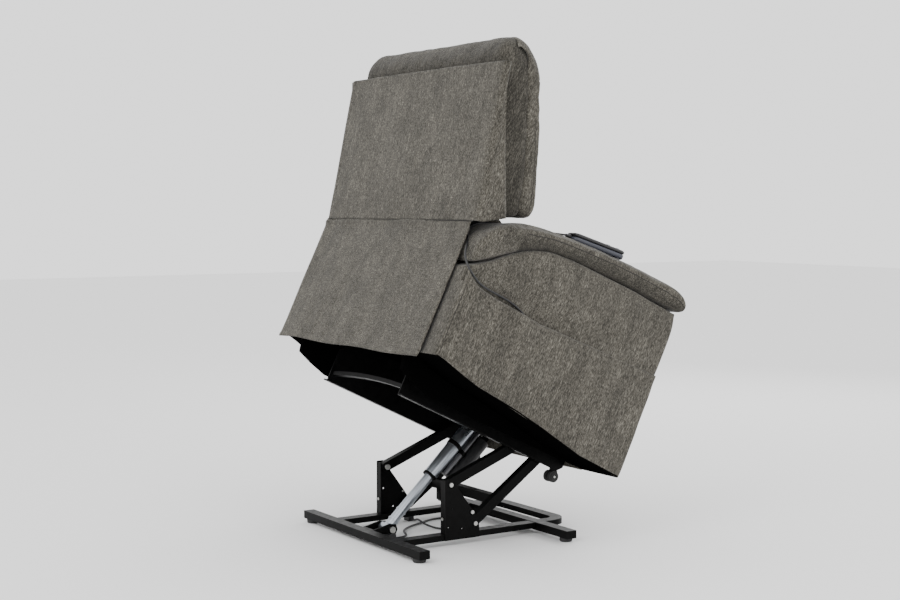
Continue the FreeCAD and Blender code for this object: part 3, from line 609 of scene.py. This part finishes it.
def arm_panels(side, label, pocket):
    """Side, inner face and rear of one arm, with the storage pocket where there is one."""
    def puff(u, v):
        return 3.0 * math.sin(math.pi * u / CHAIR_DEPTH) * math.sin(math.pi * min(max(v / 470, 0), 1))

    def upper(u, v):
        line = polyline(POCKET_LINE, u)
        near = math.exp(-((v - line) / 60.0) ** 2) if v > line else 1.0
        open_end = min(max((500.0 - u) / 200.0, 0.0), 1.0)
        under = 12.0 * math.exp(-((polyline(ARM_TOP, u) - v) / 34.0) ** 2)
        inset = 19.0 * open_end * near if pocket else 0.0
        return ARM_OUT - 4.0 + puff(u, v) - max(inset, under)

    def lower(u, v):
        line = polyline(POCKET_LINE, u)
        near = math.exp(-((line - v) / 75.0) ** 2)
        return ARM_OUT - 2.0 + puff(u, v) + 9.0 * mouth_gap(u) * near

    top_low = [(u, v - 36) for u, v in POCKET_LINE] if pocket else ARM_BOTTOM
    body = slab("arm_" + label, top_low, ARM_TOP, 0.0, CHAIR_DEPTH, upper, 285.0, FABRIC,
                side=side)
    rumple(body, 2.0, 110.0, seed=1.0 + side)
    pieces = [body]
    if pocket:
        front = slab("pocket_" + label, ARM_BOTTOM, POCKET_LINE, 0.0, CHAIR_DEPTH, lower, 418.5,
                     FABRIC, radius=9.0, side=side)
        rumple(front, 2.2, 120.0, seed=5.0)

        def behind(u, v):
            return PANEL_X - 1.0 if 38 < u < 474 and v > 118 else 420.0
        bulk = slab("arm_lower_" + label, ARM_BOTTOM, [(u, v - 30) for u, v in POCKET_LINE],
                    0.0, CHAIR_DEPTH, behind, 285.0, FABRIC, radius=3.0, side=side)
        # the hem's and the rear corner's lines are dark: painted seam shadow
        hem = [(side * 431, u, polyline(POCKET_LINE, u) - 20) for u in range(70, 300, 12)]
        seam_line(front, spline(hem, 90), 0.6, FABRIC_PAINTED_SHADE)
        corner = [(side * 430, u, v) for u, v in ((4, 270), (3, 200), (3, 130), (3, 84))]
        seam_line(front, spline(corner, 60), 0.9)
        pieces += [front, bulk]
    pieces.append(slab("arm_inner_" + label, [(30, 236), (632, 236), (640, 296), (677, 296)],
                       [(u, v + 4) for u, v in ARM_TOP], 30.0, 677.0, lambda u, v: -258.6, -262.0,
                       FABRIC, radius=2.0, side=-side))
    for piece in pieces:
        paint_shade_below(piece)
        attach(piece, "chair")
    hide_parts("arm_side_" + label)


CROWN = [(3, 345), (4, 392), (36, 437), (88, 468), (150, 490), (213, 503), (300, 516), (400, 526),
         (496, 532), (600, 534), (660, 530), (692, 518), (704, 500), (698, 480)]
BORDER_SEAM = [(128, 462), (150, 467), (172, 474), (220, 485), (288, 494), (359, 501), (429, 508),
               (504, 513), (601, 515), (660, 512), (694, 500)]


def arm_pillow(side, label):
    """The padded top of one arm, with its boxed border and top seam."""
    top = spline(CROWN, 40)
    low = [(u, v - 1) for u, v in reversed(ARM_TOP[1:])]
    outline = [tuple(p) for p in top] + low
    x0, x1 = side * ARM_IN, side * (ARM_OUT + 1.0)
    piece = extrusion("arm_pillow_cover_" + label, outline, x0, x1, FABRIC, rounding=17.0)
    inflate(piece, voxel=8.0, pressure=5.0, cap=8.0, shrink=5.0)
    subdivide(piece)
    overhang(piece, side)
    rumple(piece, 1.6, 60.0, seed=2.0 + side)
    outer_edge = [(side * (ARM_OUT + 4), u, v) for u, v in BORDER_SEAM]
    inner_edge = [(side * (ARM_IN - 4), u, v) for u, v in BORDER_SEAM]
    crease(piece, outer_edge, depth=5.0, width=8.0)
    crease(piece, inner_edge, depth=4.0, width=8.0)
    for k in range(5):     # gathers where the top rolls down at the rear, their thin lines in the darker tweed as painted shade
        u, v = 22 + 24 * k, 372 + 21 * k
        crease(piece, [(side * 436, u, v + 2), (side * 424, u - 6, v + 26),
                       (side * 404, u - 12, v + 42)], depth=2.6, width=6.0, line=0.3,
               material=FABRIC_PAINTED_SHADE)
    lay_cloth(piece)
    shade_border(piece)

    # painted shade: the outer border darkens towards its lower edge under the roll
    def border_painted_shade(x, u, v):
        seam, low = polyline(BORDER_SEAM, u), polyline(ARM_TOP, u)
        t = min(max((seam - v) / max(seam - low, 1.0), 0.0), 1.0)
        return 0.85 * t ** 1.5 if x > ARM_OUT - 45 and u > 120 else 0.0
    set_painted_shade(piece, border_painted_shade)
    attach(piece, "chair")
    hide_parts("arm_pillow_" + label)


def overhang(piece, side):
    """Lean the boxed border so that the top rolls out over the side panel."""
    points = coordinates(piece)
    for p in points:
        x, u, v = p[0] / MM, -p[1] / MM, p[2] / MM
        seam, low = polyline(BORDER_SEAM, u), polyline(ARM_TOP, u)
        t = min(max((seam - v) / max(seam - low, 1.0), 0.0), 1.0)
        if abs(x) > ARM_OUT - 60:
            p[0] += side * MM * (5.0 - 22.0 * t) * (abs(x) - ARM_OUT + 60) / 60
    set_coordinates(piece, points)


def shade_border(piece):
    """The boxed border below the top seam gets the darker tweed: painted shade under the roll."""
    piece.data.materials.append(FABRIC_PAINTED_SHADE)
    for face in piece.data.polygons:
        x, u, v = face.center.x / MM, -face.center.y / MM, face.center.z / MM
        if abs(x) > ARM_OUT - 14 and u > 60 and v < polyline(BORDER_SEAM, u):
            face.material_index = len(piece.data.materials) - 1


# ---- backrest -----------------------------------------------------------------------------------
def back_shell():
    """Outer back: a taut rear panel whose sides wrap forward, full at the bottom, nothing on top."""
    rows, thick = 60, 12.0
    rear = np.linspace((-16, 433), (-115, 834), rows)
    wrap = spline([(56, 474), (5, 584), (-49, 698), (-110, 833)], rows)
    points, cols = [], None
    for (ru, rv), (wu, wv) in zip(rear, wrap):
        section = []
        corner = 16.0
        for k in range(9):                                   # right wrap, front to rear corner
            t = k / 8
            section.append((-BACK_HALF + 1.5 * math.sin(math.pi * t), wu + (ru + corner - wu) * t,
                            wv + (rv + corner * 0.25 - wv) * t))
        for k in range(1, 8):                                # rounded rear corner
            a = math.pi / 2 * k / 8
            section.append((-BACK_HALF + corner * (1 - math.cos(a)), ru + corner * (1 - math.sin(a)),
                            rv + corner * 0.25 * (1 - math.sin(a))))
        half = section[:]
        for k in range(1, 30):
            x = -BACK_HALF + corner + (2 * BACK_HALF - 2 * corner) * k / 30
            section.append((x, ru - 3.0 * math.cos(math.pi * x / (2 * BACK_HALF)), rv))
        section += [(-x, u, v) for x, u, v in reversed(half)]
        inner = []
        for x, u, v in reversed(section):
            inner.append((x * (1 - thick / BACK_HALF), u + (thick if abs(x) < BACK_HALF - 18 else 0.0),
                          v))
        ring = section + inner
        cols = len(ring)
        points += ring
    faces = grid_faces(rows, cols, close_cols=True)
    faces += [tuple(range(cols)), tuple(reversed(range((rows - 1) * cols, rows * cols)))]
    piece = make("back_cover", points, faces, FABRIC)
    rumple(piece, 2.2, 150.0, seed=4.0, stretch=(1.0, 1.0, 0.55))
    fold = [(-281, -18, 440), (-292, -33, 500), (-303, -47, 560), (-315, -67, 640)]
    crease(piece, fold, 2.4, 13.0, 0)
    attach(piece, "backrest")
    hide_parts("back_shell")


def pillow(name, outline, half, node, cap, body="backrest", rounding=20.0):
    """A stuffed cushion from its (u, v) outline, standing for one CAD node."""
    piece = extrusion(name, outline, -half, half, FABRIC, rounding)
    inflate(piece, voxel=10.0, pressure=4.5, cap=cap, shrink=5.0)
    subdivide(piece)
    rumple(piece, 2.0, 70.0, seed=len(name))
    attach(piece, body)
    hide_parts(node)
    return piece


def backrest():
    core = [(58, 478), (128, 505), (106, 616), (48, 757), (10, 862), (-10, 905), (-40, 934),
            (-76, 940), (-101, 920), (-109, 880), (-101, 850), (-90, 836)]
    # the boxing is the darker tweed: painted shade along the cushion's side
    boxing = extrusion("back_boxing", core, -CORE_HALF, CORE_HALF, FABRIC_PAINTED_SHADE, 20.0)
    inflate(boxing, voxel=12.0, pressure=2.0, cap=5.0, shrink=2.0)
    subdivide(boxing)
    shoulder(boxing, CORE_HALF)
    rumple(boxing, 2.5, 60.0, seed=9.0)
    # painted shade on the boxing below the head
    set_painted_shade(boxing, lambda x, u, v: 0.2 if v < 900 else 0.0)
    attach(boxing, "backrest")
    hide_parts("back_core")
    # the tongue is the darker tweed: painted shade
    tongue = extrusion("back_tongue", [(47, 352), (103, 352), (103, 498), (60, 476), (47, 460)],
                       -236, 236, FABRIC_PAINTED_SHADE, 6.0)
    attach(tongue, "backrest")

    head = [(-90, 922), (-60, 933), (-34, 918), (-18, 868), (22, 770), (34, 746), (80, 750),
            (66, 790), (53, 814), (33, 874), (0, 919), (-43, 944), (-77, 941)]
    piece = shoulder(pillow("head_pillow", head, PILLOW_HALF, "back_pillow_head", 9.0), PILLOW_HALF)
    # the side seams' lines are in the darker tweed: painted shade
    for side in (-1, 1):
        crease(piece, [(side * 358, 44, 800), (side * 360, 26, 850), (side * 352, 4, 884),
                       (side * 330, -34, 912), (side * 300, -56, 934)], 2.4, 7.0, 0.5,
               FABRIC_PAINTED_SHADE)
        for k in range(6):     # gathers at the top corners
            x, u, v = side * (352 - 12 * k), 30 - 12 * k, 860 + 13 * k
            crease(piece, [(x, u, v), (x - side * 8, u + 9, v - 5), (x - side * 20, u + 16, v - 12)],
                   2.6, 5.0, 0)
    middle = [(18, 782), (28, 757), (87, 616), (106, 526), (112, 510), (160, 507), (171, 540),
              (146, 616), (95, 745), (76, 781)]
    piece = pillow("middle_pillow", middle, PILLOW_HALF, "back_pillow_middle", 9.0)
    for side in (-1, 1):
        crease(piece, [(side * 364, 58, 775), (side * 366, 90, 700), (side * 366, 126, 616),
                       (side * 362, 148, 530)], 3.0, 7.0, 0.9)
    lumbar = [(108, 414), (168, 414), (192, 434), (186, 485), (152, 519), (112, 519), (116, 505),
              (108, 499)]
    pillow("lumbar_pillow", lumbar, 242.0, "back_pillow_lumbar", 10.0)


# ---- rear flap ----------------------------------------------------------------------------------
SKIRT_TOP, SKIRT_DROP = 436, 377
SKIRT_FOLD, SKIRT_HEM = 424, 62        # heights of the fold under the seam and of the hem


def rear_flap():
    """The loose back skirt, sewn under the back cover and folded into a hem at its bottom."""
    rows, cols = 60, 90
    points = []
    for i in range(rows):
        t = i / (rows - 1)
        for j in range(cols):
            s = j / (cols - 1)
            x = FLAP_RIGHT + (FLAP_LEFT - FLAP_RIGHT) * s
            v = SKIRT_TOP - SKIRT_DROP * t
            sag = 3.0 * math.sin(2 * math.pi * (1.4 * s + 0.15)) * t ** 2
            u = -10.0 - 3.0 * math.sin(math.pi * s) * (1 - t) - sag * 0.6
            v += 2.0 * math.sin(2 * math.pi * (2.3 * s + 0.3)) * t ** 3
            u -= 4.0 * math.exp(-((v - SKIRT_FOLD) / 8.0) ** 2)
            u -= 2.5 * math.exp(-((v - SKIRT_HEM) / 7.0) ** 2)
            points.append((x, u, v))
    piece = make("rear_skirt", points, grid_faces(rows, cols), FABRIC)
    rumple(piece, 2.6, 120.0, seed=7.0, stretch=(1.0, 1.0, 0.5))
    cloth = piece.modifiers.new("cloth_thickness", "SOLIDIFY")
    cloth.thickness, cloth.offset = 2.4 * MM, 0.0
    apply_modifiers(piece)
    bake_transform(piece)
    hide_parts("rear_flap_lower", "rear_flap_upper")


# ---- seat, footrest and front -------------------------------------------------------------------
def seat():
    outline = [(176, 285), (618, 286), (648, 300), (658, 316), (652, 380), (618, 398), (205, 394),
               (190, 378), (178, 332)]
    piece = pillow("seat_pad", outline, 256.0, "seat_cushion", 12.0, "chair")
    for side in (-1, 1):
        crease(piece, [(side * 258, 210, 372), (side * 258, 400, 378), (side * 258, 610, 378),
                       (side * 240, 652, 370), (0, 664, 366)], 4.0, 9.0)
    lay_cloth(piece)
    paint_shade_below(piece)
    baffle = extrusion("seat_baffle", [(596, 228), (604, 226), (606, 231), (602, 235), (602, 263),
                                       (598, 263)], -229, 229, CAMBRIC_AND_SHADE, 1.0)
    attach(baffle, "chair")
    gap_shade_sheet()
    front = extrusion("front_apron", [(669, -4), (682, -2), (684, 40), (670, 44)], -267, 267, FABRIC,
                      4.0)
    rumple(subdivide(front, 2), 1.0, 60.0)
    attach(front, "chair")
    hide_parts("front_rail")
    pad = [(654, 56), (686, 56), (696, 70), (697, 272), (686, 288), (654, 288)]
    piece = pillow("footrest_cover", pad, 255.0, "footrest_pad", 9.0, "footrest", rounding=12.0)
    crease(piece, [(-250, 702, 172), (0, 706, 172), (250, 702, 172)], 5.0, 10.0)


def gap_shade_sheet():
    """A black sheet that closes the see-through gap between the seat and the foot of the back; its
    black is painted shade.
    """
    rows, cols = 12, 30
    points = []
    for i in range(rows):
        t = i / (rows - 1)
        for j in range(cols):
            s = j / (cols - 1)
            points.append((-240 + 480 * s, 186 - 80 * t, 352 + 6 * t - 14 * math.sin(math.pi * t)))
    cloth = make("seat_gap_shade_sheet", points, grid_faces(rows, cols), CAMBRIC_AND_SHADE)
    rumple(cloth, 2.0, 50.0, seed=3.0)
    thick = cloth.modifiers.new("cloth_thickness", "SOLIDIFY")
    thick.thickness, thick.offset = 1.6 * MM, 0.0
    apply_modifiers(cloth)
    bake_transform(cloth)


# ---- handset ------------------------------------------------------------------------------------
HANDSET_X, HANDSET_U, HANDSET_V = -355.0, 298.0, 521.5
HANDSET_TILT, HANDSET_L, HANDSET_W, HANDSET_H = 8.0, 177.0, 52.0, 24.0


def handset_matrix():
    at = Matrix.Translation(local(HANDSET_X, HANDSET_U, HANDSET_V))
    return CHAIR @ at @ Matrix.Rotation(math.radians(-HANDSET_TILT), 4, "X")


def rounded_shell(name, width0, width1, z0, z1, corner, material):
    """A tray or lid of the handset: a rounded rectangle with softened upright walls."""
    def ring(half, z, inset):
        out = []
        w, l, r = half - inset, HANDSET_L - inset, corner - inset * 0.5
        for cx, cy, start in ((w - r, -r - inset, 0), (-w + r, -r - inset, 90),
                              (-w + r, -l + r, 180), (w - r, -l + r, 270)):
            for k in range(7):
                a = math.radians(start + 15 * k)
                out.append((cx + r * math.cos(a), cy + r * math.sin(a), z))
        return out
    bulge = 3.0
    levels = [(width0, z0, bulge), (width0, z0 + 2, 0.6), ((width0 + width1) / 2, (z0 + z1) / 2, 0.0),
              (width1, z1 - 2, 0.6), (width1, z1, bulge)]
    rings = [ring(half, z, inset) for half, z, inset in levels]
    n = len(rings[0])
    mesh = bpy.data.meshes.new(name)
    points = [tuple(c * MM for c in p) for r in rings for p in r]
    faces = grid_faces(len(rings), n, close_cols=True)
    faces += [tuple(reversed(range(n))), tuple(range((len(rings) - 1) * n, len(rings) * n))]
    mesh.from_pydata(points, [], faces)
    mesh.materials.append(material)
    piece = bpy.data.objects.new(name, mesh)
    piece.matrix_world = handset_matrix()
    bpy.context.collection.objects.link(piece)
    for face in mesh.polygons:
        face.use_smooth = len(face.vertices) == 4
    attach(piece, "chair")
    return piece


def handset():
    half = HANDSET_W / 2
    tray = rounded_shell("handset_tray", half - 2, half, 0.0, 13.6, 14.0, HANDSET_SIDE)
    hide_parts("handset_case")
    lid = rounded_shell("handset_lid", half, half - 1, 14.4, HANDSET_H, 14.0, PLASTIC)
    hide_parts("handset_cover")


# ---- cords --------------------------------------------------------------------------------------
CABLE_D, HANDSET_CORD_D = 0.006, 0.0055
ROUTE_CORNER_Y = 373.0                    # y of the chair frame's corner where the route was laid out
SHIFT_Y = CHAIR_ORIGIN.y / MM - ROUTE_CORNER_Y
CABLE_ROUTE = [
    (-36, 228, 5), (-36, 205, 4.4), (-22, 182, 4), (4, 170, 4), (36, 157, 4), (64, 128, 4),
    (84, 94, 4), (100, 58, 4), (121, 22, 4), (128, -18, 4), (112, -54, 4), (76, -76, 4),
    (36, -72, 4), (4, -46, 4), (-14, -8, 4), (-16, 32, 4), (4, 64, 5), (40, 79, 11), (80, 75, 16),
    (110, 65, 14), (132, 61, 6), (150, 61, 6),
]
HANDSET_ROUTE = [
    (-413, 345, 143), (-413, 316, 150), (-413, 284, 172), (-413, 262, 206), (-413, 243, 243),
    (-414, 216, 270), (-415, 180, 281), (-416, 145, 285), (-417, 110, 285), (-419, 76, 284),
    (-421, 45, 286), (-423, 18, 296), (-419, -6, 312), (-401, -14, 336), (-381, -8, 361),
    (-361, 3, 382), (-341, 8, 404), (-322, 14, 424), (-308, 36, 446), (-302, 64, 463),
    (-299, 98, 477), (-299, 134, 490), (-301, 172, 501), (-318, 206, 509), (-340, 232, 515),
    (-354, 256, 523), (-355, 280.5, 531.2),
]


def cord(name, points, diameter, body, node):
    """A free cord on one smooth curve through its listed route."""
    curve = bpy.data.curves.new(name, "CURVE")
    curve.dimensions, curve.bevel_depth, curve.bevel_resolution = "3D", diameter / 2, 4
    track = curve.splines.new("NURBS")
    track.points.add(len(points) - 1)
    for point, place in zip(track.points, points):
        point.co = (*place, 1.0)
    track.order_u, track.use_endpoint_u, track.resolution_u = 3, True, 12
    curve.use_fill_caps = True
    piece = bpy.data.objects.new(name, curve)
    bpy.context.collection.objects.link(piece)
    curve.materials.append(CORD_SKIN)
    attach(piece, body)
    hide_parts(node)


def cords():
    base = [Vector((x, y + SHIFT_Y, z)) * MM for x, y, z in CABLE_ROUTE]
    cord("base_lead", base, CABLE_D, "base", "base_cable")
    hand = [world(*p) for p in HANDSET_ROUTE]
    cord("handset_lead", hand, HANDSET_CORD_D, "chair", "handset_cord")


# ---- the model ----------------------------------------------------------------------------------
studio()
cords()
dress_frame()
for arm_side, arm_label in ((-1.0, "right"), (1.0, "left")):
    arm_panels(arm_side, arm_label, pocket=arm_label == "right")
    arm_pillow(arm_side, arm_label)
back_shell()
backrest()
rear_flap()
seat()
handset()
